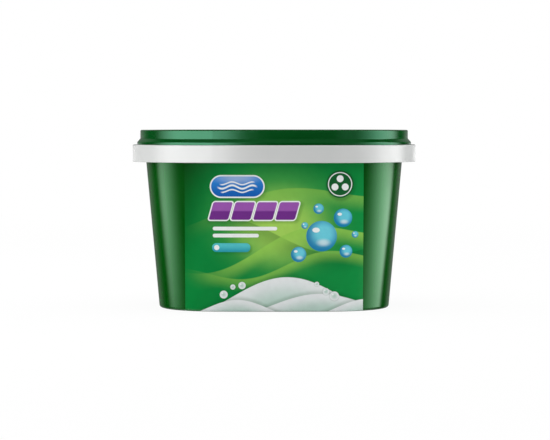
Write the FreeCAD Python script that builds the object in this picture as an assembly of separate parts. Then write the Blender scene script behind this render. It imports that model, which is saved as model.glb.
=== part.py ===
"""Dishwasher tablet tub: an oblong tapered tub with a push-fit collar, a hinged lid, two labels and its tablets.

Millimetres, +Z up. The origin is the centre of the tub's underside. The front label faces -Y and the hinge
is at +Y. Every moulding follows one plan curve, so a section is given as (s, z) points: s is the distance
outside the plan curve, which is the tub's outer face level with the collar's lower edge.
"""

import FreeCAD, Part
import math
import os
import random

from FreeCAD import Placement, Rotation, Vector

# Plan curve
TUB_WIDTH = 172.0
TUB_DEPTH = 109.0
SIDE_FLAT = 11.0
FACE_BOW_RADIUS = 700.0
SIDE_BOW_RADIUS = 250.0

# Tub
BODY_HEIGHT = 98.0
RIM_RISE = 10.2
DRAFT = 0.09
TUB_WALL = 1.2
TUB_FLOOR = 1.4
BASE_EDGE_RADIUS = 2.0
FOOT_WIDTH = 6.0
FOOT_RISE = 1.0
FOOT_SLOPE_WIDTH = 1.5
FLOOR_RING_WIDTH = 4.0
FLANGE_WIDTH = 7.3
FLANGE_THICKNESS = 1.2
FLANGE_LIP_THICKNESS = 1.0
FLANGE_LIP_DROP = 4.2

# Collar
COLLAR_OVERHANG = 9.0
COLLAR_WALL = 1.2
COLLAR_EDGE_RADIUS = 0.8
GUIDE_LIP_DEPTH = 3.7
GUIDE_LIP_WALL = 1.2
GUIDE_LIP_CLEARANCE = 0.6
SNAP_BEAD_REACH = 1.2
SNAP_BEAD_HEIGHT = 1.8
SNAP_BEAD_CLEARANCE = 0.2

# Lid
LID_HEIGHT = 9.6
LID_WALL = 1.2
LID_LEDGE = 3.0
SHOULDER_STEP = 2.15
SHOULDER_SIDE_HEIGHT = 1.5
SHOULDER_SLOPE_HEIGHT = 2.4
SHOULDER_RADIUS = 1.2
LID_EDGE_RADIUS = 0.8
LID_SEAT_GAP = 0.1
LID_RIM_WIDTH = 9.0
LID_PANEL_DROP = 2.0
LID_PANEL_SLOPE_WIDTH = 1.5
LID_RING_WIDTH = 10.0
PLUG_WALL = 1.1
PLUG_CLEARANCE = 0.3
PLUG_DEPTH = 3.0

# Hinge
HINGE_SPACING = 52.0
HINGE_LUG_LENGTH = 10.4
HINGE_EAR_THICKNESS = 2.4
HINGE_SIDE_GAP = 0.3
HINGE_EAR_RADIUS = 1.9
HINGE_PIN_RADIUS = 0.95
HINGE_PIN_CLEARANCE = 0.06
HINGE_FLOOR_GAP = 0.2
HINGE_SKIRT_GAP = 0.3
HINGE_NOTCH_GAP = 0.6
HINGE_WEB_THICKNESS = 1.5
HINGE_HEEL_REACH = 2.6
LID_OPENING_ANGLE = 112.0

# Labels
LABEL_WIDTH = 117.0
LABEL_THICKNESS = 0.25
LABEL_GLUE = 0.1
LABEL_FOOT_GAP = 0.4
LABEL_TUCK = 2.5

# Tablets
TABLET_COUNT = 48
FILM_LENGTH = 34.5
FILM_WIDTH = 30.5
FILM_THICKNESS = 0.8
FILM_CORNER = 3.0
POWDER_LENGTH = 30.0
POWDER_WIDTH = 13.2
POWDER_HEIGHT = 12.2
GEL_LENGTH = 14.2
GEL_WIDTH = 12.6
GEL_HEIGHT = 9.3
POCKET_GAP = 0.8
HEAP_CELL = 1.0
HEAP_GAP = 0.15
HEAP_SEED = 16
HEAP_POSES = 20
HEAP_TRIALS = 4000
HEAP_WALL_PULL = 0.06
HEAP_FACE_DOWN_SHARE = 0.4
HEAP_FACE_UP = 14

UP = Vector(0, 0, 1)

# Heights that several pieces share
TUB_TOP = BODY_HEIGHT + RIM_RISE
COLLAR_TOP = TUB_TOP + COLLAR_WALL
LID_BOTTOM = COLLAR_TOP + LID_SEAT_GAP
LID_TOP = LID_BOTTOM + LID_HEIGHT

# Distances outside the plan curve that several pieces share
COLLAR_INSIDE = COLLAR_OVERHANG - COLLAR_WALL
SHOULDER_FACE = COLLAR_OVERHANG - LID_LEDGE
SKIRT_FACE = SHOULDER_FACE - SHOULDER_STEP
SKIRT_INSIDE = SKIRT_FACE - LID_WALL


def wall_face(z):
    """Where the tub's sloping outer face is at height z."""
    return (z - BODY_HEIGHT) * DRAFT


def wall_inside(z):
    """Where the tub's inner face is at height z."""
    return wall_face(z) - TUB_WALL


GUIDE_LIP_FACE = wall_inside(TUB_TOP - GUIDE_LIP_DEPTH) - GUIDE_LIP_CLEARANCE
GUIDE_LIP_INSIDE = GUIDE_LIP_FACE - GUIDE_LIP_WALL
PLUG_FACE = GUIDE_LIP_INSIDE - PLUG_CLEARANCE


def plan_arcs():
    """The plan curve as eight tangent arcs: (centre x, centre y, radius, start angle, end angle)."""
    half_width = TUB_WIDTH / 2
    half_depth = TUB_DEPTH / 2
    corner = (TUB_DEPTH - SIDE_FLAT) / 2
    face_centre = FACE_BOW_RADIUS - half_depth
    side_centre = SIDE_BOW_RADIUS - half_width
    to_face = FACE_BOW_RADIUS - corner
    to_side = SIDE_BOW_RADIUS - corner
    span = math.hypot(face_centre, side_centre)
    along = (to_face**2 - to_side**2 + span**2) / (2 * span)
    across = math.sqrt(to_face**2 - along**2)
    cos_span, sin_span = -side_centre / span, face_centre / span
    x = along * cos_span + across * sin_span
    y = along * sin_span - across * cos_span - face_centre
    face_turn = math.atan2(-y - face_centre, x)
    side_turn = math.atan2(-y, x + side_centre)
    pi = math.pi
    return [
        (0, face_centre, FACE_BOW_RADIUS, -pi - face_turn, face_turn),
        (x, -y, corner, face_turn, side_turn),
        (-side_centre, 0, SIDE_BOW_RADIUS, side_turn, -side_turn),
        (x, y, corner, -side_turn, -face_turn),
        (0, -face_centre, FACE_BOW_RADIUS, -face_turn, pi + face_turn),
        (-x, y, corner, pi + face_turn, pi + side_turn),
        (side_centre, 0, SIDE_BOW_RADIUS, pi + side_turn, pi - side_turn),
        (-x, -y, corner, pi - side_turn, pi - face_turn),
    ]


ARCS = plan_arcs()
FRONT_ARCS = [ARCS[7], ARCS[0], ARCS[1]]


def outside(x, y):
    """How far the point (x, y) is outside the plan curve."""
    x, y = abs(x), abs(y)
    corner_x, corner_y, corner = ARCS[3][:3]
    face_y, face_radius = ARCS[4][1:3]
    side_x, side_radius = ARCS[2][0], ARCS[2][2]
    if x * (corner_y - face_y) < corner_x * (y - face_y):
        return math.hypot(x, y - face_y) - face_radius
    if y * (corner_x - side_x) < corner_y * (x - side_x):
        return math.hypot(x - side_x, y) - side_radius
    return math.hypot(x - corner_x, y - corner_y) - corner


def section_edges(points, place):
    """Edges of a closed outline of (s, z) or (s, z, radius) points, with each radius rounding its corner."""
    flat = [Vector(p[0], p[1], 0) for p in points]
    ends = []
    for i, here in enumerate(flat):
        radius = points[i][2] if len(points[i]) > 2 else 0
        if not radius:
            ends.append((here, here, here))
            continue
        back = (flat[i - 1] - here).normalize()
        ahead = (flat[(i + 1) % len(flat)] - here).normalize()
        half = back.getAngle(ahead) / 2
        middle = (back + ahead).normalize()
        reach = radius / math.tan(half)
        crown = middle * (radius / math.sin(half) - radius)
        ends.append((here + back * reach, here + crown, here + ahead * reach))
    edges = []
    for i, (start, crown, end) in enumerate(ends):
        if start != end:
            edges.append(Part.Arc(place(start), place(crown), place(end)).toShape())
        edges.append(Part.makeLine(place(end), place(ends[(i + 1) % len(ends)][0])))
    return edges


def ring(points, arcs=None):
    """A closed (s, z) section carried round the plan curve."""
    parts = []
    for centre_x, centre_y, radius, start, end in arcs or ARCS:
        centre = Vector(centre_x, centre_y, 0)
        out = Vector(math.cos(start), math.sin(start), 0)
        edges = section_edges(points, lambda p: centre + out * (radius + p.x) + UP * p.y)
        face = Part.Face(Part.Wire(edges))
        parts.append(face.revolve(centre, UP, math.degrees(end - start)))
    return parts[0].fuse(parts[1:]).removeSplitter()


def plate(s, bottom, top):
    """A flat plate that fills the plan curve offset by s."""
    edges = []
    for centre_x, centre_y, radius, start, end in ARCS:
        circle = Part.Circle(Vector(centre_x, centre_y, bottom), UP, radius + s)
        edges.append(Part.Arc(circle, start, end).toShape())
    return Part.Face(Part.Wire(edges)).extrude(UP * (top - bottom))


def box(low, high):
    """A box between two corners."""
    return Part.makeBox(high[0] - low[0], high[1] - low[1], high[2] - low[2], Vector(*low))


def rod(radius, start_x, end_x, y, z):
    """A cylinder along X."""
    return Part.makeCylinder(radius, end_x - start_x, Vector(start_x, y, z), Vector(1, 0, 0))


# Tub
def make_tub():
    """Tapered wall, raised floor panel on a foot, and an outward flange with a turned-down lip."""
    base = wall_face(0)
    foot_inside = base - BASE_EDGE_RADIUS - FOOT_WIDTH
    panel = foot_inside - FOOT_SLOPE_WIDTH
    ring_edge = panel - FLOOR_RING_WIDTH
    flange_under = TUB_TOP - FLANGE_THICKNESS
    lip_inside = FLANGE_WIDTH - FLANGE_LIP_THICKNESS
    lip_bottom = TUB_TOP - FLANGE_LIP_DROP
    section = [
        (foot_inside, 0),
        (base, 0, BASE_EDGE_RADIUS),
        (wall_face(flange_under), flange_under),
        (lip_inside, flange_under),
        (lip_inside, lip_bottom),
        (FLANGE_WIDTH, lip_bottom),
        (FLANGE_WIDTH, TUB_TOP, FLANGE_LIP_THICKNESS / 2),
        (wall_inside(TUB_TOP), TUB_TOP, TUB_WALL / 3),
        (wall_inside(TUB_FLOOR), TUB_FLOOR, BASE_EDGE_RADIUS - TUB_WALL / 2),
        (foot_inside, TUB_FLOOR),
        (panel, TUB_FLOOR + FOOT_RISE),
        (ring_edge, TUB_FLOOR + FOOT_RISE),
        (ring_edge, FOOT_RISE),
        (panel, FOOT_RISE),
    ]
    return ring(section).fuse(plate(ring_edge, FOOT_RISE, FOOT_RISE + TUB_FLOOR)).removeSplitter()


# Collar
def make_collar():
    """Channel that snaps over the tub's flange, with the hinge ears at the back."""
    bead_top = TUB_TOP - FLANGE_LIP_DROP - SNAP_BEAD_CLEARANCE
    bead_face = COLLAR_INSIDE - SNAP_BEAD_REACH
    lip_bottom = TUB_TOP - GUIDE_LIP_DEPTH
    section = [
        (COLLAR_OVERHANG, BODY_HEIGHT, COLLAR_WALL / 3),
        (COLLAR_OVERHANG, COLLAR_TOP, COLLAR_EDGE_RADIUS),
        (GUIDE_LIP_INSIDE, COLLAR_TOP, COLLAR_WALL / 3),
        (GUIDE_LIP_INSIDE, lip_bottom),
        (GUIDE_LIP_FACE, lip_bottom),
        (GUIDE_LIP_FACE, TUB_TOP),
        (COLLAR_INSIDE, TUB_TOP),
        (COLLAR_INSIDE, bead_top),
        (bead_face, bead_top),
        (bead_face, bead_top - SNAP_BEAD_HEIGHT / 3),
        (COLLAR_INSIDE, bead_top - SNAP_BEAD_HEIGHT),
        (COLLAR_INSIDE, BODY_HEIGHT, COLLAR_WALL / 3),
    ]
    collar = ring(section)
    ears = [ear(x, x + HINGE_EAR_THICKNESS) for x in ear_starts()]
    return collar.fuse(ears).cut(pin_holes()).removeSplitter()


# Hinge
def back_face(s, x):
    """The y of the back face offset by s, at a distance x from the middle."""
    centre_y, radius = ARCS[4][1:3]
    return centre_y + math.sqrt((radius + s) ** 2 - x**2)


HINGE_HALF_LENGTH = HINGE_LUG_LENGTH / 2 + HINGE_SIDE_GAP + HINGE_EAR_THICKNESS
HINGE_NEAR_X = HINGE_SPACING / 2 - HINGE_HALF_LENGTH
HINGE_Y = back_face(SKIRT_FACE, HINGE_NEAR_X) + HINGE_SKIRT_GAP + HINGE_EAR_RADIUS
HINGE_Z = COLLAR_TOP + HINGE_FLOOR_GAP + HINGE_EAR_RADIUS


def hinge_middles():
    """The x of the middle of each hinge."""
    return [-HINGE_SPACING / 2, HINGE_SPACING / 2]


def ear_starts():
    """The x where each of the four ears starts."""
    lug_end = HINGE_LUG_LENGTH / 2 + HINGE_SIDE_GAP
    offsets = (-lug_end - HINGE_EAR_THICKNESS, lug_end)
    return [middle + offset for middle in hinge_middles() for offset in offsets]


def ear(start_x, end_x):
    """One bearing ear that stands on the collar."""
    low = (start_x, HINGE_Y - HINGE_EAR_RADIUS, COLLAR_TOP - COLLAR_WALL / 2)
    high = (end_x, HINGE_Y + HINGE_EAR_RADIUS, HINGE_Z)
    return box(low, high).fuse(rod(HINGE_EAR_RADIUS, start_x, end_x, HINGE_Y, HINGE_Z))


def pin_holes():
    """The holes that the lid's pins turn in."""
    radius = HINGE_PIN_RADIUS + HINGE_PIN_CLEARANCE
    return [rod(radius, x, x + HINGE_EAR_THICKNESS, HINGE_Y, HINGE_Z) for x in ear_starts()]


def lug(middle):
    """The lid's half of one hinge: a barrel with its pins, a web to the skirt and a heel that stops the lid."""
    half = HINGE_LUG_LENGTH / 2
    pin_half = half + HINGE_SIDE_GAP + HINGE_EAR_THICKNESS
    skirt_y = back_face(SKIRT_INSIDE + LID_WALL / 2, abs(middle) - half)
    low = (middle - half, skirt_y, HINGE_Z + HINGE_EAR_RADIUS - HINGE_WEB_THICKNESS)
    high = (middle + half, HINGE_Y, HINGE_Z + HINGE_EAR_RADIUS)
    barrel = rod(HINGE_EAR_RADIUS, middle - half, middle + half, HINGE_Y, HINGE_Z)
    pins = rod(HINGE_PIN_RADIUS, middle - pin_half, middle + pin_half, HINGE_Y, HINGE_Z)
    return barrel.fuse([pins, box(low, high), heel(middle - half, middle + half)])


def heel(start_x, end_x):
    """A tooth on the barrel that meets the collar when the lid is fully open."""
    floor_drop = HINGE_EAR_RADIUS + HINGE_FLOOR_GAP
    tip = math.radians(LID_OPENING_ANGLE) - math.asin(floor_drop / HINGE_HEEL_REACH)
    root = HINGE_EAR_RADIUS * 0.8
    corners = [(root, tip - 0.5), (HINGE_HEEL_REACH, tip), (root, tip + 0.5)]
    points = []
    for reach, angle in corners:
        y = HINGE_Y + reach * math.cos(angle)
        points.append(Vector(start_x, y, HINGE_Z + reach * math.sin(angle)))
    tooth = Part.Face(Part.makePolygon(points + points[:1]))
    return tooth.extrude(Vector(end_x - start_x, 0, 0))


# Lid
def make_lid():
    """Stepped skirt, plug ring and sunk panel, notched round the collar's ears, with the hinge lugs."""
    lid = ring(lid_section()).fuse(lid_panel()).removeSplitter()
    for middle in hinge_middles():
        lid = with_hinge_notch(lid, middle)
    return lid.fuse([lug(middle) for middle in hinge_middles()]).removeSplitter()


def lid_panel_edges():
    """Distances of the rim's inner edge, the panel's edge and the seam between section and panel."""
    rim_inside = SKIRT_FACE - LID_RIM_WIDTH
    panel_edge = rim_inside - LID_PANEL_SLOPE_WIDTH
    return rim_inside, panel_edge, panel_edge - LID_RING_WIDTH


def lid_panel():
    """The flat middle of the lid."""
    seam = lid_panel_edges()[2]
    panel_top = LID_TOP - LID_PANEL_DROP
    return plate(seam, panel_top - LID_WALL, panel_top)


def lid_section():
    """The lid's section from the shoulder to the panel."""
    rim_inside, panel_edge, seam = lid_panel_edges()
    side_top = LID_BOTTOM + SHOULDER_SIDE_HEIGHT
    slope_top = side_top + SHOULDER_SLOPE_HEIGHT
    panel_top = LID_TOP - LID_PANEL_DROP
    rim_under = LID_TOP - LID_WALL
    panel_under = panel_top - LID_WALL
    plug_bottom = COLLAR_TOP - PLUG_DEPTH
    slope_drop = LID_WALL / 3
    return [
        (SHOULDER_FACE, LID_BOTTOM),
        (SHOULDER_FACE, side_top, SHOULDER_RADIUS),
        (SKIRT_FACE, slope_top, LID_EDGE_RADIUS),
        (SKIRT_FACE, LID_TOP, LID_EDGE_RADIUS),
        (rim_inside, LID_TOP, LID_EDGE_RADIUS),
        (panel_edge, panel_top, LID_EDGE_RADIUS),
        (seam, panel_top),
        (seam, panel_under),
        (panel_edge - slope_drop, panel_under),
        (rim_inside - slope_drop, rim_under),
        (PLUG_FACE - PLUG_WALL, rim_under),
        (PLUG_FACE - PLUG_WALL, plug_bottom),
        (PLUG_FACE, plug_bottom, PLUG_WALL / 3),
        (PLUG_FACE, rim_under),
        (SKIRT_INSIDE, rim_under),
        (SKIRT_INSIDE, slope_top - slope_drop),
        (SHOULDER_FACE - LID_WALL, side_top - slope_drop),
        (SHOULDER_FACE - LID_WALL, LID_BOTTOM),
    ]


def with_hinge_notch(lid, middle):
    """The lid with its shoulder cut back to the skirt round one hinge, and the cut closed off."""
    half = HINGE_HALF_LENGTH + HINGE_NOTCH_GAP
    slope_top = LID_BOTTOM + SHOULDER_SIDE_HEIGHT + SHOULDER_SLOPE_HEIGHT
    back = TUB_DEPTH / 2 + COLLAR_OVERHANG
    zone_low = (middle - half, 0, LID_BOTTOM - LID_SEAT_GAP)
    zone_high = (middle + half, back, slope_top + LID_EDGE_RADIUS)
    zone = box(zone_low, zone_high)
    back_arc = [ARCS[4]]
    shoulder_space = [
        (SKIRT_FACE, zone_low[2]),
        (COLLAR_OVERHANG, zone_low[2]),
        (COLLAR_OVERHANG, zone_high[2]),
        (SKIRT_FACE, zone_high[2]),
    ]
    straight_skirt = [
        (SKIRT_INSIDE, LID_BOTTOM),
        (SKIRT_FACE, LID_BOTTOM),
        (SKIRT_FACE, zone_high[2]),
        (SKIRT_INSIDE, zone_high[2]),
    ]
    solid_shoulder = [
        (SKIRT_INSIDE, LID_BOTTOM),
        (SHOULDER_FACE, LID_BOTTOM),
        (SHOULDER_FACE, LID_BOTTOM + SHOULDER_SIDE_HEIGHT, SHOULDER_RADIUS),
        (SKIRT_FACE, slope_top),
        (SKIRT_INSIDE, slope_top),
    ]
    end_zones = []
    for start in (middle - half - LID_WALL, middle + half):
        end_zones.append(box((start, 0, zone_low[2]), (start + LID_WALL, back, zone_high[2])))
    ends = [ring(solid_shoulder, back_arc).common(end_zone) for end_zone in end_zones]
    cut_back = lid.cut(ring(shoulder_space, back_arc).common(zone))
    return cut_back.fuse([ring(straight_skirt, back_arc).common(zone), *ends])


# Labels
def make_label(faces_front):
    """A film that wraps one long side of the tub, from just above the foot to behind the collar."""
    top = BODY_HEIGHT + LABEL_TUCK
    toe = wall_face(0) - BASE_EDGE_RADIUS
    slant = math.hypot(1, DRAFT)
    back = LABEL_GLUE
    face = LABEL_GLUE + LABEL_THICKNESS
    film = [
        (wall_face(-face) + face * slant, -face, BASE_EDGE_RADIUS + face),
        (wall_face(top) + face * slant, top),
        (wall_face(top) + back * slant, top),
        (wall_face(-back) + back * slant, -back, BASE_EDGE_RADIUS + back),
        (toe, -back),
        (toe, -face),
    ]
    half = LABEL_WIDTH / 2
    window = box((-half, -TUB_DEPTH, LABEL_FOOT_GAP), (half, 0, top))
    label = ring(film, FRONT_ARCS).common(window)
    if not faces_front:
        label = label.mirror(Vector(0, 0, 0), Vector(0, 1, 0))
    return label


# Tablets
def tier_points(half_x, half_y, corner):
    """The eight corners of a rectangle with its corners cut off."""
    near_x, near_y = half_x - corner, half_y - corner
    quadrant = [(half_x, near_y), (near_x, half_y)]
    mirrored = [(-x, y) for x, y in reversed(quadrant)]
    upper = quadrant + mirrored
    return upper + [(-x, -y) for x, y in upper]


def tiered(x, y, tiers):
    """A convex solid through level eight-sided tiers: (z, half_x, half_y, corner)."""
    levels = []
    for z, half_x, half_y, corner in tiers:
        levels.append([Vector(x + px, y + py, z) for px, py in tier_points(half_x, half_y, corner)])
    faces = [Part.Face(Part.makePolygon(level + level[:1])) for level in (levels[0], levels[-1])]
    for lower, upper in zip(levels, levels[1:]):
        for i in range(len(lower)):
            j = (i + 1) % len(lower)
            corners = [lower[i], lower[j], upper[j], upper[i], lower[i]]
            faces.append(Part.Face(Part.makePolygon(corners)))
    return Part.Solid(Part.Shell(faces))


def pocket(x, y, length, width, height):
    """A pillow-shaped pocket that stands on the film."""
    half_x, half_y = length / 2, width / 2
    corner = min(half_x, half_y) * 0.45
    tiers = [
        (FILM_THICKNESS / 2, half_x, half_y, corner),
        (FILM_THICKNESS + height * 0.6, half_x * 0.95, half_y * 0.92, corner),
        (FILM_THICKNESS + height, half_x * 0.72, half_y * 0.6, corner * 0.6),
    ]
    return tiered(x, y, tiers)


def tablet_solids():
    """The convex solids of one tablet, lying on the film with its middle at the origin."""
    film_tiers = []
    for z in (0, FILM_THICKNESS):
        film_tiers.append((z, FILM_LENGTH / 2, FILM_WIDTH / 2, FILM_CORNER))
    depth = POWDER_WIDTH + POCKET_GAP + GEL_WIDTH
    powder_y = (depth - POWDER_WIDTH) / 2
    gel_y = (GEL_WIDTH - depth) / 2
    gel_x = (GEL_LENGTH + POCKET_GAP) / 2
    solids = [tiered(0, 0, film_tiers), pocket(0, powder_y, POWDER_LENGTH, POWDER_WIDTH, POWDER_HEIGHT)]
    for x in (-gel_x, gel_x):
        solids.append(pocket(x, gel_y, GEL_LENGTH, GEL_WIDTH, GEL_HEIGHT))
    lift = (FILM_THICKNESS + POWDER_HEIGHT) / 2
    for solid in solids:
        solid.translate(UP * -lift)
    return solids


def half_spaces(solid):
    """The planes of a convex solid as (normal, distance from the origin)."""
    centre = solid.CenterOfMass
    planes = []
    for face in solid.Faces:
        normal = face.normalAt(0, 0)
        point = face.Vertexes[0].Point
        if normal.dot(point - centre) < 0:
            normal = normal * -1
        planes.append((normal, normal.dot(point)))
    return planes


def column(planes, x, y):
    """The lowest and highest z of a convex solid over (x, y), or None beside it."""
    low, high = -math.inf, math.inf
    for normal, distance in planes:
        rest = distance - normal.x * x - normal.y * y
        if normal.z > 1e-6:
            high = min(high, rest / normal.z)
        elif normal.z < -1e-6:
            low = max(low, rest / normal.z)
        elif rest < 0:
            return None
    return (low, high) if low < high else None


def footprint(solids, rotation):
    """The cells that a turned tablet covers, outermost first: (i, j, lowest z, highest z)."""
    cells = {}
    reach = int(math.hypot(FILM_LENGTH, FILM_WIDTH) / 2 / HEAP_CELL) + 1
    for solid in solids:
        planes = [(rotation.multVec(normal), distance) for normal, distance in half_spaces(solid)]
        for i in range(-reach, reach + 1):
            for j in range(-reach, reach + 1):
                span = column(planes, i * HEAP_CELL, j * HEAP_CELL)
                if span:
                    low, high = cells.get((i, j), span)
                    cells[i, j] = (min(low, span[0]), max(high, span[1]))
    outermost_first = sorted(cells, key=lambda cell: -math.hypot(*cell))
    return [(*cell, *cells[cell]) for cell in outermost_first]


def empty_tub_heights():
    """The height of the tub's inside over each cell of the heap's grid."""
    heights = {}
    across = int(TUB_WIDTH / 2 / HEAP_CELL)
    along = int(TUB_DEPTH / 2 / HEAP_CELL)
    for i in range(-across, across + 1):
        for j in range(-along, along + 1):
            s = outside(i * HEAP_CELL, j * HEAP_CELL) + HEAP_CELL + TUB_WALL
            wall = BODY_HEIGHT + s / DRAFT
            if wall < BODY_HEIGHT:
                heights[i, j] = max(wall, TUB_FLOOR + FOOT_RISE)
    return heights


def resting_height(heights, cells, i, j, limit):
    """How high a tablet rests over cell (i, j), or None above the limit or where the wall is in its way."""
    rest = -math.inf
    for di, dj, low, _ in cells:
        ground = heights.get((i + di, j + dj))
        if ground is None:
            return None
        rest = max(rest, ground - low + HEAP_GAP)
        if rest > limit:
            return None
    return rest


def lowest_place(chance, heights, poses):
    """The best of many places tried for one tablet: (height, turn, cells, i, j)."""
    grid = list(heights)
    best = None
    limit = math.inf
    for _ in range(HEAP_TRIALS):
        turn, cells = chance.choice(poses)
        i, j = chance.choice(grid)
        from_wall = -outside(i * HEAP_CELL, j * HEAP_CELL) * HEAP_WALL_PULL
        rest = resting_height(heights, cells, i, j, limit - from_wall)
        if rest is not None:
            limit = rest + from_wall
            best = (rest, turn, cells, i, j)
    return best


def settle(heights, cells, i, j, rest):
    """Raise the heap's surface to the top of a tablet that has come to rest, one cell wider all round."""
    for di, dj, _, high in cells:
        for ni in range(i + di - 1, i + di + 2):
            for nj in range(j + dj - 1, j + dj + 2):
                if (ni, nj) in heights:
                    heights[ni, nj] = max(heights[ni, nj], rest + high)


def tablet_turn(chance, face_up):
    """One way for a tablet to lie: flat or tipped a little, and sometimes face down."""
    tip = chance.choice((0, 0, 5, 9, 14))
    if not face_up and chance.random() < HEAP_FACE_DOWN_SHARE:
        tip = 180 - tip
    lean = Rotation(Vector(1, 0, 0), tip)
    return Rotation(UP, chance.uniform(0, 360)).multiply(lean).multiply(Rotation(UP, chance.uniform(0, 360)))


def heap_placements(solids):
    """Drop the tablets into the tub one after another, each into the lowest place found."""
    chance = random.Random(HEAP_SEED)
    poses = {}
    for face_up in (False, True):
        turns = [tablet_turn(chance, face_up) for _ in range(HEAP_POSES)]
        poses[face_up] = [(turn, footprint(solids, turn)) for turn in turns]
    heights = empty_tub_heights()
    placements = []
    for number in range(TABLET_COUNT):
        face_up = number >= TABLET_COUNT - HEAP_FACE_UP
        rest, turn, cells, i, j = lowest_place(chance, heights, poses[face_up])
        settle(heights, cells, i, j, rest)
        placements.append(Placement(Vector(i * HEAP_CELL, j * HEAP_CELL, rest), turn))
    return placements


def make_tablets():
    """Every tablet at its place in the heap."""
    solids = tablet_solids()
    tablet = solids[0].fuse(solids[1:]).removeSplitter()
    tablets = []
    for placement in heap_placements(solids):
        copy = tablet.copy()
        copy.Placement = placement
        tablets.append(copy)
    return tablets


def save(name, shape):
    """Write one piece as parts/NAME.step."""
    solids = shape.Solids
    if len(solids) == 1:
        shape = solids[0]
    shape.exportStep(os.path.join("parts", name + ".step"))


def main():
    os.makedirs("parts", exist_ok=True)
    save("tub", make_tub())
    save("collar", make_collar())
    save("lid", make_lid())
    save("front_label", make_label(True))
    save("back_label", make_label(False))
    for number, tablet in enumerate(make_tablets(), start=1):
        save(f"tablet_{number:02d}", tablet)


main()
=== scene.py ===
"""Studio view of a dishwasher tablet tub: green plastic, a white collar, printed labels and soft tablets."""

import math

import bmesh
import bpy
from mathutils import Matrix, Vector


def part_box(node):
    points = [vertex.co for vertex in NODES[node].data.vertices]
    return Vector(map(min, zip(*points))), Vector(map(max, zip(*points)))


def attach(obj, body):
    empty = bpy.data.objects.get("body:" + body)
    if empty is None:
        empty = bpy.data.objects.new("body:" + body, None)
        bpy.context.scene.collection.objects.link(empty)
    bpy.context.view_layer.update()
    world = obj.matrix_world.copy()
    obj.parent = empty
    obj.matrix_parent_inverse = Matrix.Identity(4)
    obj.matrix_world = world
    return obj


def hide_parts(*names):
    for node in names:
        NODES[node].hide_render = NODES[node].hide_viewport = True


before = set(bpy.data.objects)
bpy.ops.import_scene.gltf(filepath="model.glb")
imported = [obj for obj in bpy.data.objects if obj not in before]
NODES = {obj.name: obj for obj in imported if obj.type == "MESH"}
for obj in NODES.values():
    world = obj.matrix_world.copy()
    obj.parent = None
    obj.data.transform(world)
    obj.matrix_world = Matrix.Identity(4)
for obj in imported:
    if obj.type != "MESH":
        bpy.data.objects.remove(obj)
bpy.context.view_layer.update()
TABLETS = sorted(name for name in NODES if name.startswith("tablet_"))

MM = 0.001
MIDDLE = Vector((0, 0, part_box("lid")[1].z / 2))

# Camera
EYE_HEIGHT = 125.8 * MM
EYE_DISTANCE = 1.47
EYE_SIDE = 0.6 * MM
EYE_DOWN = math.radians(2.63)
LENS_MM = 142.6
SENSOR_MM = 36.0


def srgb(red, green, blue):
    """A display colour, given as 0 to 255, as the linear colour that a shader takes."""
    linear = []
    for channel in (red, green, blue):
        part = channel / 255
        linear.append(part / 12.92 if part <= 0.04045 else ((part + 0.055) / 1.055) ** 2.4)
    return (*linear, 1.0)


# Material nodes
class Field:
    """A number that varies over a surface, held as a socket of a material's node tree."""

    def __init__(self, tree, socket):
        self.tree = tree
        self.socket = socket

    def math(self, operation, *inputs):
        node = self.tree.nodes.new("ShaderNodeMath")
        node.operation = operation
        for slot, value in zip(node.inputs, inputs):
            feed(self.tree, slot, value)
        return Field(self.tree, node.outputs[0])

    def __add__(self, other):
        return self.math("ADD", self, other)

    def __sub__(self, other):
        return self.math("SUBTRACT", self, other)

    def __mul__(self, other):
        return self.math("MULTIPLY", self, other)

    def __truediv__(self, other):
        return self.math("DIVIDE", self, other)

    def __abs__(self):
        return self.math("ABSOLUTE", self)

    def squared(self):
        return self.math("MULTIPLY", self, self)

    def root(self):
        return self.math("SQRT", self)

    def sine(self):
        return self.math("SINE", self)

    def lowest(self, other):
        return self.math("MINIMUM", self, other)

    def highest(self, other):
        return self.math("MAXIMUM", self, other)

    def ramp(self, start, end):
        """0 where this is start, 1 where it is end, smooth between."""
        node = self.tree.nodes.new("ShaderNodeMapRange")
        node.interpolation_type = "SMOOTHSTEP"
        feed(self.tree, node.inputs["Value"], self)
        node.inputs["From Min"].default_value = start
        node.inputs["From Max"].default_value = end
        return Field(self.tree, node.outputs["Result"])


def feed(tree, socket, value):
    """Give an input a varying value by a link, or a fixed one by its default."""
    if isinstance(value, Field):
        tree.links.new(value.socket, socket)
    elif isinstance(value, bpy.types.NodeSocket):
        tree.links.new(value, socket)
    else:
        socket.default_value = value


def mix(tree, factor, first, second):
    """A colour that goes from first to second as factor goes from 0 to 1."""
    node = tree.nodes.new("ShaderNodeMix")
    node.data_type = "RGBA"
    feed(tree, node.inputs["Factor"], factor)
    feed(tree, node.inputs["A"], first)
    feed(tree, node.inputs["B"], second)
    return node.outputs["Result"]


def mix_shaders(tree, factor, first, second):
    """A shader that goes from first to second as factor goes from 0 to 1."""
    node = tree.nodes.new("ShaderNodeMixShader")
    feed(tree, node.inputs[0], factor)
    tree.links.new(first, node.inputs[1])
    tree.links.new(second, node.inputs[2])
    return node.outputs["Shader"]


def noise(tree, vector, scale, detail, stretch=(1, 1, 1)):
    """Noise from 0 to 1 with features of about 1 / scale metres."""
    mapping = tree.nodes.new("ShaderNodeMapping")
    mapping.inputs["Scale"].default_value = stretch
    tree.links.new(vector, mapping.inputs["Vector"])
    node = tree.nodes.new("ShaderNodeTexNoise")
    node.inputs["Scale"].default_value = scale
    node.inputs["Detail"].default_value = detail
    tree.links.new(mapping.outputs["Vector"], node.inputs["Vector"])
    return Field(tree, node.outputs["Fac"])


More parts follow.
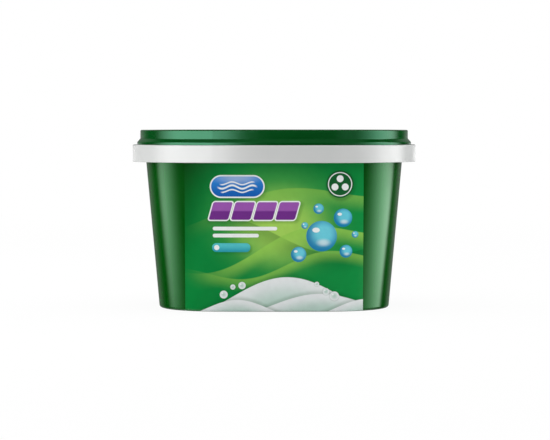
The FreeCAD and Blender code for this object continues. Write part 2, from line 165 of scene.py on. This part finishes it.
def bump(tree, height, depth):
    """A normal from a height of 0 to 1, depth metres deep."""
    node = tree.nodes.new("ShaderNodeBump")
    node.inputs["Distance"].default_value = depth
    feed(tree, node.inputs["Height"], height)
    return node.outputs["Normal"]


def new_material(name):
    """An empty material: (material, tree, Principled shader, position on the object)."""
    material = bpy.data.materials.new(name)
    material.use_nodes = True
    tree = material.node_tree
    shader = tree.nodes["Principled BSDF"]
    place = tree.nodes.new("ShaderNodeTexCoord").outputs["Object"]
    return material, tree, shader, place


def axes(tree, place):
    """The x, y and z of a place in metres."""
    split = tree.nodes.new("ShaderNodeSeparateXYZ")
    tree.links.new(place, split.inputs["Vector"])
    return [Field(tree, output) for output in split.outputs]


def dress(name, material):
    """Give a CAD node one material."""
    mesh = NODES[name].data
    mesh.materials.clear()
    mesh.materials.append(material)


def mesh_from(bm, name):
    """The finished mesh of one that was under construction."""
    mesh = bpy.data.meshes.new(name)
    bm.to_mesh(mesh)
    bm.free()
    return mesh


def add_object(name, data):
    """A new object in the scene."""
    item = bpy.data.objects.new(name, data)
    bpy.context.scene.collection.objects.link(item)
    return item


# Moulded plastic
# Each moulding: its colour, the colour of its flow marks, its roughness, the tint of its gloss seen face on,
# and the share of light that gets into it
PLASTICS = {
    "tub": (srgb(2, 79, 11), srgb(2, 73, 8), 0.13, (0.36, 1.0, 0.5, 1), 0.0),
    "lid": (srgb(6, 78, 26), srgb(5, 71, 22), 0.13, (0.34, 1.0, 0.66, 1), 0.0),
    "collar": (srgb(211, 212, 211), srgb(206, 208, 207), 0.14, (1, 1, 1, 1), 0.1),
}


def moulded_plastic(name, colour, shade, roughness, tint, translucence):
    """Injection-moulded plastic: faint flow marks, a fine spark-eroded grain and slightly uneven gloss."""
    material, tree, shader, place = new_material(name)
    flow = noise(tree, place, 14, 3, stretch=(1, 1, 0.35))
    cloud = noise(tree, place, 90, 2)
    base = mix(tree, (flow * 0.7 + cloud * 0.3).ramp(0.3, 0.7), colour, shade)
    feed(tree, shader.inputs["Base Color"], base)
    handling = noise(tree, place, 45, 4)
    feed(tree, shader.inputs["Roughness"], handling * 0.08 + (roughness - 0.04))
    shader.inputs["Specular IOR Level"].default_value = 1.0
    shader.inputs["Specular Tint"].default_value = tint
    shader.inputs["Subsurface Weight"].default_value = translucence
    shader.inputs["Subsurface Radius"].default_value = (0.9, 0.9, 0.9)
    shader.inputs["Subsurface Scale"].default_value = 2.5 * MM
    grain = noise(tree, place, 2600, 2)
    wave = noise(tree, place, 120, 2)
    feed(tree, shader.inputs["Normal"], bump(tree, grain * 0.3 + wave * 0.7, 0.02 * MM))
    return material


# Label print
PRINT_EDGE = 0.18

FIELD_DARK = srgb(3, 72, 14)
FIELD_GREEN = srgb(8, 134, 60)
FIELD_LIGHT = srgb(22, 150, 72)
GLOW_LIME = srgb(166, 212, 92)
GLOW_GREEN = srgb(96, 184, 82)
RIBBON_LIME = srgb(150, 206, 84)
RIBBON_DARK = srgb(4, 96, 40)
FOAM_WHITE = srgb(236, 238, 240)
FOAM_SHADE = srgb(190, 214, 204)
PLAQUE_BLUE = srgb(48, 138, 222)
PLAQUE_DEEP = srgb(20, 96, 184)
BAND_PURPLE = srgb(116, 48, 140)
BAND_LIGHT = srgb(158, 88, 178)
PILL_CYAN = srgb(84, 196, 204)
PILL_DEEP = srgb(44, 158, 180)
DROP_CYAN = srgb(110, 212, 236)
DROP_DEEP = srgb(20, 124, 184)
BADGE_GREEN = srgb(24, 96, 48)
PRINT_WHITE = srgb(246, 248, 248)


class Print:
    """A flat artwork on a label: u runs to the reader's right and v up, both in millimetres."""

    def __init__(self, tree, u, v):
        self.tree = tree
        self.u = u
        self.v = v
        self.colour = FIELD_GREEN

    def lay(self, mask, ink):
        """Print ink, a colour or a colour socket, where mask is 1."""
        self.colour = mix(self.tree, mask, self.colour, ink)

    def blend(self, factor, first, second):
        return mix(self.tree, factor, first, second)

    def edge(self, distance, softness=PRINT_EDGE):
        """1 where a signed distance is inside, 0 where it is outside."""
        return distance.ramp(softness, -softness)

    def ellipse(self, u, v, half_u, half_v):
        """How far outside an ellipse, as a share of its size."""
        return (((self.u - u) / half_u).squared() + ((self.v - v) / half_v).squared()).root() - 1.0

    def disc(self, u, v, radius):
        """Distance outside a circle."""
        return ((self.u - u).squared() + (self.v - v).squared()).root() - radius

    def bar(self, u, v, half_u, half_v, corner, slant=0.0):
        """Distance outside a round-cornered bar, whose top leans to the right by slant."""
        along = abs(self.u - u - (self.v - v) * slant) - (half_u - corner)
        across = abs(self.v - v) - (half_v - corner)
        beyond = (along.highest(0.0).squared() + across.highest(0.0).squared()).root()
        return beyond + along.highest(across).lowest(0.0) - corner

    def wave(self, height, swing, length, shift, lean=0.0):
        """Distance above a wavy line."""
        return self.v - height - self.u * lean - ((self.u + shift) * (math.tau / length)).sine() * swing

    def droplet(self, u, v, radius):
        """A round drop with a dark lower rim, a light belly and a small highlight."""
        body = self.disc(u, v, radius)
        depth = self.disc(u + radius * 0.15, v + radius * 0.2, 0).ramp(radius * 0.35, radius * 1.15)
        self.lay(self.edge(body) * 0.92, self.blend(depth, DROP_CYAN, DROP_DEEP))
        belly = self.ellipse(u + radius * 0.12, v - radius * 0.42, radius * 0.55, radius * 0.3)
        self.lay(belly.ramp(0.1, -0.8) * 0.55, PRINT_WHITE)
        glint = self.ellipse(u - radius * 0.36, v + radius * 0.4, radius * 0.24, radius * 0.16)
        self.lay(glint.ramp(0.12, -0.12), PRINT_WHITE)


def print_field(art):
    """Dark green at the left, lighter to the right, with a lime glow that brightens towards its middle."""
    art.colour = art.blend((art.u - art.v * 0.35 + 93).ramp(-4, 36), FIELD_DARK, FIELD_GREEN)
    art.lay((art.u - art.v * 0.3).ramp(-40, 60) * (art.v - 96).ramp(8, -30) * 0.6, FIELD_LIGHT)
    art.lay(art.ellipse(2, 60, 56, 46).ramp(0.0, -0.9) * 0.85, GLOW_GREEN)
    art.lay(art.ellipse(4, 56, 40, 33).ramp(0.0, -0.85), GLOW_LIME)


def print_ribbons(art):
    """Sweeping ribbons of light, each bright along its upper edge and fading below, and a darker one."""
    for height, swing, length, shift, lean, width, ink, strength in (
        (72, 8.0, 150, 34, 0.16, 12, RIBBON_LIME, 0.5),
        (51, 8.0, 128, 62, -0.12, 16, RIBBON_DARK, 0.45),
        (43, 8.0, 118, 10, 0.22, 12, RIBBON_LIME, 0.8),
        (30, 6.0, 100, -8, 0.12, 9, RIBBON_LIME, 0.6),
    ):
        line = art.wave(height, swing, length, shift, lean)
        art.lay(line.ramp(-width, 0) * art.edge(line, 0.35) * art.u.ramp(-62, -8) * strength, ink)


def print_foam(art):
    """White foam that swells in the middle of the label's foot, in three overlapping crests."""
    for height, swing, length, shift, depth in (
        (9, 14.0, 150, 29, 17),
        (4, 8.0, 130, 2.5, 10),
        (2, 6.0, 84, 45, 8),
    ):
        crest = art.wave(height, swing, length, shift)
        art.lay(crest.ramp(3.5, 0) * 0.3, RIBBON_DARK)
        art.lay(art.edge(crest), art.blend(crest.ramp(-depth, -0.5), FOAM_SHADE, FOAM_WHITE))


def print_plaque(art, u, v, half_u, half_v):
    """A blue plaque with a white border, a soft shadow, a pale shine and three wavy lines."""
    plaque = art.bar(u, v, half_u, half_v, half_v)
    shadow = art.bar(u + 0.8, v - 1.2, half_u, half_v, half_v)
    art.lay(shadow.ramp(3.0, -0.5) * 0.45, RIBBON_DARK)
    art.lay(art.edge(plaque - 0.9), PRINT_WHITE)
    art.lay(art.edge(plaque), art.blend((art.v - v).ramp(-half_v, half_v), PLAQUE_DEEP, PLAQUE_BLUE))
    shine = art.ellipse(u, v + half_v * 0.9, half_u * 1.1, half_v * 0.9)
    art.lay(art.edge(plaque) * shine.ramp(0.05, -0.9) * 0.35, PRINT_WHITE)
    for lift, swing, thick in ((2.1, 0.9, 0.42), (-0.3, 1.1, 0.6), (-2.9, 0.9, 0.42)):
        line = abs(art.wave(v + lift, swing, half_u * 0.78, half_u * 0.39 - u)) - thick
        inside = art.bar(u, v, half_u * (0.74 - 0.05 * abs(lift)), half_v, 1.0)
        art.lay(art.edge(line, 0.22) * art.edge(inside, 1.2), PRINT_WHITE)


def print_band(art, u, v, half_u, half_v, slant):
    """A leaning purple band in four blocks, with a white outline and a lighter upper half."""
    art.lay(art.bar(u + 0.7, v - 1.0, half_u, half_v, 1.2, slant).ramp(2.5, -0.5) * 0.4, RIBBON_DARK)
    pitch = half_u / 2
    for block in range(4):
        middle = u - half_u + pitch * (block + 0.5)
        shape = art.bar(middle, v, pitch / 2 - 0.9, half_v, 1.3, slant)
        art.lay(art.edge(shape - 0.8), PRINT_WHITE)
        art.lay(art.edge(shape), art.blend((art.v - v).ramp(-0.6, 0.6), BAND_PURPLE, BAND_LIGHT))


def print_pill(art, u, v, half_u, half_v):
    """A cyan pill with a soft shadow, lighter at its top, and a white dot at its left end."""
    pill = art.bar(u, v, half_u, half_v, half_v - 0.1)
    art.lay(art.bar(u + 0.5, v - 0.8, half_u, half_v, half_v - 0.1).ramp(1.8, -0.4) * 0.35, RIBBON_DARK)
    art.lay(art.edge(pill), art.blend((art.v - v).ramp(-half_v, half_v * 0.6), PILL_DEEP, PILL_CYAN))
    art.lay(art.edge(art.disc(u - half_u + half_v * 1.05, v, half_v * 0.58)), PRINT_WHITE)


def print_badge(art, u, v, radius):
    """A round dark green badge with a white ring and three white dots."""
    art.lay(art.disc(u + 0.6, v - 1.0, radius).ramp(2.2, -0.5) * 0.4, RIBBON_DARK)
    badge = art.disc(u, v, radius)
    art.lay(art.edge(badge), BADGE_GREEN)
    art.lay(art.edge(abs(badge + 1.4) - 0.3), PRINT_WHITE)
    for turn in (90, 210, 330):
        dot_u = u + radius * 0.43 * math.cos(math.radians(turn))
        dot_v = v + radius * 0.4 * math.sin(math.radians(turn))
        art.lay(art.edge(art.disc(dot_u, dot_v, radius * 0.25)), PRINT_WHITE)


def print_bubble(art, u, v, radius):
    """A small clear bubble on the foam: a thin pale rim round a faint body, and a glint."""
    bubble = art.disc(u, v, radius)
    art.lay(bubble.ramp(0.9, -0.2) * 0.25, RIBBON_DARK)
    art.lay(art.edge(bubble), art.blend(bubble.ramp(-radius, 0), FOAM_SHADE, FOAM_WHITE))
    art.lay(art.edge(art.disc(u - radius * 0.35, v + radius * 0.35, radius * 0.2)), PRINT_WHITE)


# Each bubble and drop: its middle and radius in millimetres
FRONT_BUBBLES = (
    (-33, 11.5, 2.6), (-27, 16.5, 1.7), (-21, 17.5, 2.4),
    (34, 13.5, 2.2), (39.5, 10.5, 3.0), (28, 18.5, 1.5),
)
FRONT_DROPS = (
    (31, 50, 10.0), (45, 62, 6.0), (16, 38, 5.0), (47, 40, 4.2),
    (29, 68, 3.4), (53, 51, 2.2), (20, 57, 2.2),
)


def front_artwork(art):
    """The front label, without lettering: a plaque, band, two lines and pill at the left, a badge and drops
    at the right, and foam with bubbles below."""
    print_field(art)
    print_ribbons(art)
    print_foam(art)
    print_plaque(art, -24, 82.5, 17, 6.6)
    print_band(art, -13, 66.5, 29, 5.8, 0.28)
    for v, half_u in ((55.0, 21), (50.4, 15)):
        art.lay(art.edge(art.bar(-19 - (21 - half_u), v, half_u, 1.2, 1.1)), PRINT_WHITE)
    print_pill(art, -28, 42.5, 12.5, 2.9)
    print_badge(art, 43, 84, 9.0)
    for bubble in FRONT_BUBBLES:
        print_bubble(art, *bubble)
    for drop in FRONT_DROPS:
        art.droplet(*drop)


def back_artwork(art):
    """The back label, without lettering: the same field and foam, a plaque, ruled lines and three drops."""
    print_field(art)
    print_foam(art)
    print_plaque(art, 0, 86.5, 20, 5.4)
    panel = art.bar(-20, 52, 33, 21, 2.5)
    art.lay(art.edge(panel) * 0.94, PRINT_WHITE)
    stripe = ((art.v - 52) * (math.tau / 4.2)).sine().ramp(0.45, 0.6)
    art.lay(art.edge(art.bar(-20, 52, 30, 18, 0.5)) * stripe * 0.45, BADGE_GREEN)
    side = art.bar(36, 52, 17, 21, 2.5)
    art.lay(art.edge(side), BADGE_GREEN)
    art.lay(art.edge(abs(side + 1.4) - 0.25), PRINT_WHITE)
    for v in (64, 52, 40):
        art.droplet(36, v, 4.2)


def label_film(name, artwork, reads_along_x):
    """A glossy printed film. On the back the print runs the other way, so that it reads from there."""
    material, tree, shader, place = new_material(name)
    x, _, z = [axis / MM for axis in axes(tree, place)]
    art = Print(tree, x if reads_along_x else x * -1.0, z)
    artwork(art)
    mottle = noise(tree, place, 220, 3)
    ink = mix(tree, mottle.ramp(0.2, 0.8) * 0.06, art.colour, srgb(0, 40, 14))
    feed(tree, shader.inputs["Base Color"], ink)
    feed(tree, shader.inputs["Roughness"], noise(tree, place, 60, 3) * 0.06 + 0.12)
    shader.inputs["Specular IOR Level"].default_value = 0.4
    ripple = noise(tree, place, 38, 2)
    feed(tree, shader.inputs["Normal"], bump(tree, ripple, 0.06 * MM))
    return material


# Tablets
POWDER_WHITE = srgb(236, 240, 243)
POWDER_BLUE = srgb(70, 130, 205)
POWDER_GREEN = srgb(70, 170, 110)
GEL_BLUE = srgb(22, 92, 190)
GEL_BLUE_LIGHT = srgb(60, 150, 225)
GEL_GREEN = srgb(18, 140, 66)
GEL_GREEN_LIGHT = srgb(80, 195, 100)
FILM_PALE = srgb(206, 220, 226)


def powder_material():
    """Pressed white powder with coloured specks behind a clear film."""
    material, tree, shader, place = new_material("tablet_powder")
    cells = tree.nodes.new("ShaderNodeTexVoronoi")
    cells.inputs["Scale"].default_value = 1100
    tree.links.new(place, cells.inputs["Vector"])
    speck = Field(tree, cells.outputs["Distance"]).ramp(0.34, 0.24)
    chance = tree.nodes.new("ShaderNodeSeparateColor")
    tree.links.new(cells.outputs["Color"], chance.inputs["Color"])
    blue = speck * Field(tree, chance.outputs["Red"]).ramp(0.74, 0.78)
    green = speck * Field(tree, chance.outputs["Green"]).ramp(0.86, 0.9)
    base = mix(tree, blue * 0.8, POWDER_WHITE, POWDER_BLUE)
    base = mix(tree, green * 0.8, base, POWDER_GREEN)
    feed(tree, shader.inputs["Base Color"], base)
    shader.inputs["Roughness"].default_value = 0.6
    shader.inputs["Coat Weight"].default_value = 0.7
    shader.inputs["Coat Roughness"].default_value = 0.18
    lumps = noise(tree, place, 900, 3) * 0.3 + noise(tree, place, 160, 2) * 0.7
    feed(tree, shader.inputs["Normal"], bump(tree, lumps, 0.5 * MM))
    return material


def gel_material(name, deep, light):
    """Coloured gel under a tight film."""
    material, tree, shader, place = new_material(name)
    depth = noise(tree, place, 110, 2).ramp(0.3, 0.7)
    feed(tree, shader.inputs["Base Color"], mix(tree, depth, deep, light))
    shader.inputs["Roughness"].default_value = 0.16
    shader.inputs["Subsurface Weight"].default_value = 0.35
    shader.inputs["Subsurface Scale"].default_value = 3 * MM
    shader.inputs["Coat Weight"].default_value = 0.6
    shader.inputs["Coat Roughness"].default_value = 0.08
    feed(tree, shader.inputs["Normal"], bump(tree, noise(tree, place, 150, 2), 0.35 * MM))
    return material


def film_material():
    """The sealed rim of the film: pale, glossy and a little crinkled."""
    material, tree, shader, place = new_material("tablet_film")
    haze = noise(tree, place, 300, 3).ramp(0.3, 0.7)
    feed(tree, shader.inputs["Base Color"], mix(tree, haze, FILM_PALE, PRINT_WHITE))
    shader.inputs["Roughness"].default_value = 0.2
    shader.inputs["Subsurface Weight"].default_value = 0.3
    shader.inputs["Subsurface Scale"].default_value = 1.5 * MM
    feed(tree, shader.inputs["Normal"], bump(tree, noise(tree, place, 420, 3), 0.35 * MM))
    return material


FILM_HALF = (17.2, 15.2)
FILM_THICK = 0.8
FILM_SQUARENESS = 9
POCKET_SQUARENESS = 3.6
CROWN_SQUARENESS = 2.2
CROWN_FLAT = 0.04
PUCKERS = 9
PUCKER_DEPTH = 0.012
ROUND_SEGMENTS = 40
DOME_RINGS = 9
POWDER, GEL_ONE, GEL_TWO, FILM = range(4)
# Each pocket: middle, half size and height in millimetres on the film, and its material
POCKETS = (
    ((0.0, 6.7), (14.9, 6.5), 12.1, POWDER),
    ((-7.5, -7.0), (7.0, 6.2), 9.2, GEL_ONE),
    ((7.5, -7.0), (7.0, 6.2), 9.2, GEL_TWO),
)


def rounded(angle, half_x, half_y, squareness):
    """The point of a superellipse at an angle: squareness 2 is an ellipse, and more is squarer."""
    c, s = math.cos(angle), math.sin(angle)
    x = math.copysign(abs(c) ** (2 / squareness), c) * half_x
    y = math.copysign(abs(s) ** (2 / squareness), s) * half_y
    return x, y


def add_rings(bm, rings, material, close_bottom=False):
    """Skin a stack of closed rings of points and cap the last one."""
    loops = [[bm.verts.new(point) for point in ring] for ring in rings]
    for lower, upper in zip(loops, loops[1:]):
        for i in range(len(lower)):
            j = (i + 1) % len(lower)
            face = bm.faces.new((lower[i], lower[j], upper[j], upper[i]))
            face.material_index = material
            face.smooth = True
    caps = [(loops[-1], False)] + ([(loops[0], True)] if close_bottom else [])
    for loop, flip in caps:
        face = bm.faces.new(loop[::-1] if flip else loop)
        face.material_index = material
        face.smooth = True


def pocket_rings(middle, half, height):
    """A pillow that swells from the film: steep puckered sides that roll over into a rounder crown."""
    rings = []
    for step in range(DOME_RINGS + 1):
        turn = step / DOME_RINGS * math.pi / 2
        reach = max(math.cos(turn) ** 0.55, CROWN_FLAT)
        lift = math.sin(turn) ** 0.8
        squareness = POCKET_SQUARENESS - (POCKET_SQUARENESS - CROWN_SQUARENESS) * lift
        ring = []
        for i in range(ROUND_SEGMENTS):
            angle = i / ROUND_SEGMENTS * math.tau
            x, y = rounded(angle, half[0] * reach, half[1] * reach, squareness)
            pucker = 1 + PUCKER_DEPTH * math.sin(angle * PUCKERS) * (1 - lift)
            z = FILM_THICK * 0.6 + lift * (height - FILM_THICK * 0.6 + FILM_THICK)
            ring.append(Vector((middle[0] + x * pucker, middle[1] + y * pucker, z)) * MM)
        rings.append(ring)
    return rings


def film_rings():
    """The flat sealed film: a thin round-cornered sheet with a soft crimped edge."""
    rings = []
    for inset, z in ((0.35, 0.0), (0.0, 0.25), (0.0, 0.55), (0.35, FILM_THICK), (1.6, FILM_THICK - 0.12)):
        ring = []
        for i in range(ROUND_SEGMENTS * 2):
            angle = i / (ROUND_SEGMENTS * 2) * math.tau
            x, y = rounded(angle, FILM_HALF[0] - inset, FILM_HALF[1] - inset, FILM_SQUARENESS)
            ring.append(Vector((x, y, z)) * MM)
        rings.append(ring)
    return rings


def tablet_mesh():
    """One tablet, shared by all: a sealed film, a powder pocket and two gel pockets."""
    bm = bmesh.new()
    add_rings(bm, film_rings(), FILM, close_bottom=True)
    for middle, half, height, material in POCKETS:
        add_rings(bm, pocket_rings(middle, half, height), material)
    mesh = mesh_from(bm, "tablet")
    mesh.materials.append(powder_material())
    mesh.materials.append(gel_material("tablet_gel_blue", GEL_BLUE, GEL_BLUE_LIGHT))
    mesh.materials.append(gel_material("tablet_gel_green", GEL_GREEN, GEL_GREEN_LIGHT))
    mesh.materials.append(film_material())
    return mesh


SAME_LEVEL = 0.02 * MM


def level_face(mesh, down, level):
    """The middle of the distinct corners that lie at a level along a direction."""
    near = [v.co for v in mesh.vertices if abs(v.co.dot(down) - level) < SAME_LEVEL]
    corners = {tuple(round(c, 6) for c in point) for point in near}
    return sum((Vector(corner) for corner in corners), Vector()) / len(corners)


def tablet_place(node):
    """Where a tablet lies, from its CAD solid: the film's underside is its largest flat face, and the powder
    pocket's crown is what rises highest from it."""
    mesh = node.data
    areas = {}
    for face in mesh.polygons:
        facing = tuple(round(c, 2) for c in face.normal)
        areas[facing] = areas.get(facing, 0) + face.area
    largest = max(areas, key=areas.get)
    down = max((face for face in mesh.polygons if tuple(round(c, 2) for c in face.normal) == largest),
               key=lambda face: face.area).normal.copy()
    levels = [v.co.dot(down) for v in mesh.vertices]
    middle = level_face(mesh, down, max(levels))
    crown = level_face(mesh, down, min(levels))
    z = -down
    y = crown - middle
    y = (y - z * y.dot(z)).normalized()
    x = y.cross(z)
    place = Matrix((x, y, z)).transposed().to_4x4()
    place.translation = middle
    return place


def make_tablets():
    """A soft tablet in the place of each CAD one."""
    mesh = tablet_mesh()
    for name in TABLETS:
        tablet = add_object(name + "_pouch", mesh)
        tablet.matrix_world = tablet_place(NODES[name])
        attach(tablet, "tub")
        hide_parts(name)


# Studio
FLOOR_HALF = 6.0
FLOOR_PALE = (0.93, 0.93, 0.93, 1)
FLOOR_PALER = (0.95, 0.95, 0.95, 1)
SURROUND_RADIUS = 2.0
# Each card: the azimuths of its left and right edges from the camera's side, in degrees to the right, the
# elevations of its lower and upper edges, each edge with its softness, how many degrees its sides lean to
# the left for each degree that they rise above LEAN_FROM, and the card's brightness. The collar cards are
# thin, so that only the collar's far ends show them in the main view.
LEAN_FROM = -7.7
CARDS = {
    "left": ((-82, 25), (-6.6, 1.8), (-4.2, 1.3), (48, 3), 0, 3.7),
    "right": ((60, 26), (108, 13), (-4.2, 1.3), (48, 3), 0, 2.8),
    "right_fill": ((14, 10), (50, 12), (-4.2, 1.3), (48, 3), 0, 0.25),
    "low_left": ((-108.5, 8), (-83, 18), (-13, 6), (-5.2, 1.3), 1.2, 2.5),
    "low_right": ((84, 26), (118, 5), (-15, 9), (-5.2, 1.3), -1.5, 3.8),
    "back_left": ((-180, 1), (-131, 14), (-52, 3), (52, 3), 0, 0.2),
    "back_right": ((136, 14), (180, 1), (-52, 3), (52, 3), 0, 0.24),
    "collar_left": ((-180, 1), (-141, 12), (-0.4, 0.3), (0.8, 0.25), 0, 0.6),
    "collar_right": ((145, 8), (180, 1), (-0.4, 0.3), (0.8, 0.25), 0, 0.8),
    "floor_left": ((-128, 26), (-34, 30), (-84, 4), (-31, 6), 0, 0.8),
    "floor_right": ((34, 30), (128, 26), (-84, 4), (-31, 6), 0, 0.7),
}
ROOF = (62, 3)
ROOF_BRIGHTNESS = 0.1


def rise(field, edge):
    """0 before a soft edge, given as its middle and half width, and 1 after it."""
    middle, half = edge
    return field.ramp(middle - half, middle + half)


def fall(field, edge):
    """1 before a soft edge and 0 after it."""
    middle, half = edge
    return field.ramp(middle + half, middle - half)


def surround_material():
    """Soft cards and dark gaps round the table, seen only in gloss."""
    material, tree, shader, place = new_material("studio_cards")
    tree.nodes.remove(shader)
    x, y, z = axes(tree, place)
    azimuth = x.math("ARCTAN2", x, y * -1.0) * math.degrees(1)
    elevation = z.math("ARCTAN2", z, (x.squared() + y.squared()).root()) * math.degrees(1)
    light = rise(elevation, ROOF) * ROOF_BRIGHTNESS
    for left, right, low, high, lean, brightness in CARDS.values():
        upright = azimuth + (elevation - LEAN_FROM) * lean
        across = rise(upright, left) * fall(upright, right)
        along = rise(elevation, low) * fall(elevation, high)
        light = light + across * along * brightness
    glow = tree.nodes.new("ShaderNodeEmission")
    feed(tree, glow.inputs["Strength"], light)
    tree.links.new(glow.outputs["Emission"], tree.nodes["Material Output"].inputs["Surface"])
    return material


def make_surround():
    """A shell round the table for reflections alone."""
    bm = bmesh.new()
    bmesh.ops.create_uvsphere(bm, u_segments=48, v_segments=24, radius=SURROUND_RADIUS)
    mesh = mesh_from(bm, "studio_cards")
    cards = add_object("studio_cards", mesh)
    cards.location = MIDDLE
    mesh.materials.append(surround_material())
    mesh.materials[0].cycles.emission_sampling = "NONE"
    for ray in ("camera", "diffuse", "transmission", "shadow", "volume_scatter"):
        setattr(cards, "visible_" + ray, False)


def seen_directly(tree):
    """1 for rays from the camera, from gloss and through clear matter."""
    path = tree.nodes.new("ShaderNodeLightPath")
    camera = Field(tree, path.outputs["Is Camera Ray"])
    glossy = Field(tree, path.outputs["Is Glossy Ray"])
    clear = Field(tree, path.outputs["Is Transmission Ray"])
    return camera.highest(glossy).highest(clear)


# How white the floor shows near the object, where its shadow falls, and the distances in metres over which
# it turns fully white
FLOOR_GLOW = 0.92
SHADOW_REACH = (0.3, 1.4)


def make_floor():
    """A pale floor that shows white but keeps the object's shadow."""
    bm = bmesh.new()
    corners = [(-1, -1), (1, -1), (1, 1), (-1, 1)]
    bm.faces.new([bm.verts.new((x * FLOOR_HALF, y * FLOOR_HALF, 0)) for x, y in corners])
    mesh = mesh_from(bm, "floor")
    floor = add_object("floor", mesh)
    material, tree, shader, place = new_material("floor")
    speckle = noise(tree, place, 30, 3).ramp(0.3, 0.7)
    feed(tree, shader.inputs["Base Color"], mix(tree, speckle, FLOOR_PALE, FLOOR_PALER))
    shader.inputs["Roughness"].default_value = 0.9
    shader.inputs["Specular IOR Level"].default_value = 0.1
    glow = tree.nodes.new("ShaderNodeEmission")
    glow.inputs["Strength"].default_value = 1.0
    glow.inputs["Color"].default_value = (1, 1, 1, 1)
    x, y, _ = axes(tree, place)
    away = (x.squared() + y.squared()).root()
    whiteness = away.ramp(*SHADOW_REACH) * (1 - FLOOR_GLOW) + FLOOR_GLOW
    factor = seen_directly(tree) * whiteness
    lit = mix_shaders(tree, factor, shader.outputs["BSDF"], glow.outputs["Emission"])
    tree.links.new(lit, tree.nodes["Material Output"].inputs["Surface"])
    mesh.materials.append(material)
    floor.visible_glossy = False


# The brightness of the world as a light, where white is 1
WORLD_FILL = 0.64


def make_world():
    """White where it is seen, soft grey where it lights the object."""
    world = bpy.data.worlds.new("studio")
    bpy.context.scene.world = world
    world.use_nodes = True
    tree = world.node_tree
    fill = tree.nodes["Background"]
    fill.inputs["Color"].default_value = (1, 1, 1, 1)
    fill.inputs["Strength"].default_value = WORLD_FILL
    white = tree.nodes.new("ShaderNodeBackground")
    white.inputs["Color"].default_value = (1, 1, 1, 1)
    white.inputs["Strength"].default_value = 1.0
    both = mix_shaders(tree, seen_directly(tree), fill.outputs["Background"], white.outputs["Background"])
    tree.links.new(both, tree.nodes["World Output"].inputs["Surface"])


# Each softbox: azimuth and elevation in degrees, distance and size in metres, power in watts
SOFTBOXES = {
    "left": (-84, 22, 1.3, 0.9, 4.5),
    "right": (88, 18, 1.3, 0.9, 3.6),
    "top": (-10, 76, 1.4, 1.1, 4.8),
    "rim_left": (-112, 8, 1.3, 0.9, 6.8),
    "rim_right": (112, 8, 1.3, 0.9, 5.0),
}


def make_softboxes():
    """Square area lamps aimed at the middle of the object."""
    for name, (azimuth, elevation, distance, size, power) in SOFTBOXES.items():
        lamp = bpy.data.lights.new("softbox_" + name, "AREA")
        lamp.shape = "SQUARE"
        lamp.size = size
        lamp.energy = power
        softbox = add_object("softbox_" + name, lamp)
        a, e = math.radians(azimuth), math.radians(elevation)
        away = Vector((math.sin(a) * math.cos(e), -math.cos(a) * math.cos(e), math.sin(e)))
        softbox.location = MIDDLE + away * distance
        softbox.rotation_euler = away.to_track_quat("Z", "Y").to_euler()
        softbox.visible_glossy = False
        softbox.visible_camera = False


def make_camera():
    """A long lens just above the lid, tipped down a little."""
    data = bpy.data.cameras.new("camera")
    data.lens = LENS_MM
    data.sensor_width = SENSOR_MM
    camera = add_object("camera", data)
    camera.location = (EYE_SIDE, -EYE_DISTANCE, EYE_HEIGHT)
    camera.rotation_euler = (math.pi / 2 - EYE_DOWN, 0, 0)
    bpy.context.scene.camera = camera


for moulding, look in PLASTICS.items():
    dress(moulding, moulded_plastic(moulding + "_plastic", *look))
dress("front_label", label_film("front_label_film", front_artwork, True))
dress("back_label", label_film("back_label_film", back_artwork, False))
make_tablets()

make_floor()
make_surround()
make_world()
make_softboxes()
make_camera()
bpy.context.scene.view_settings.view_transform = "Standard"
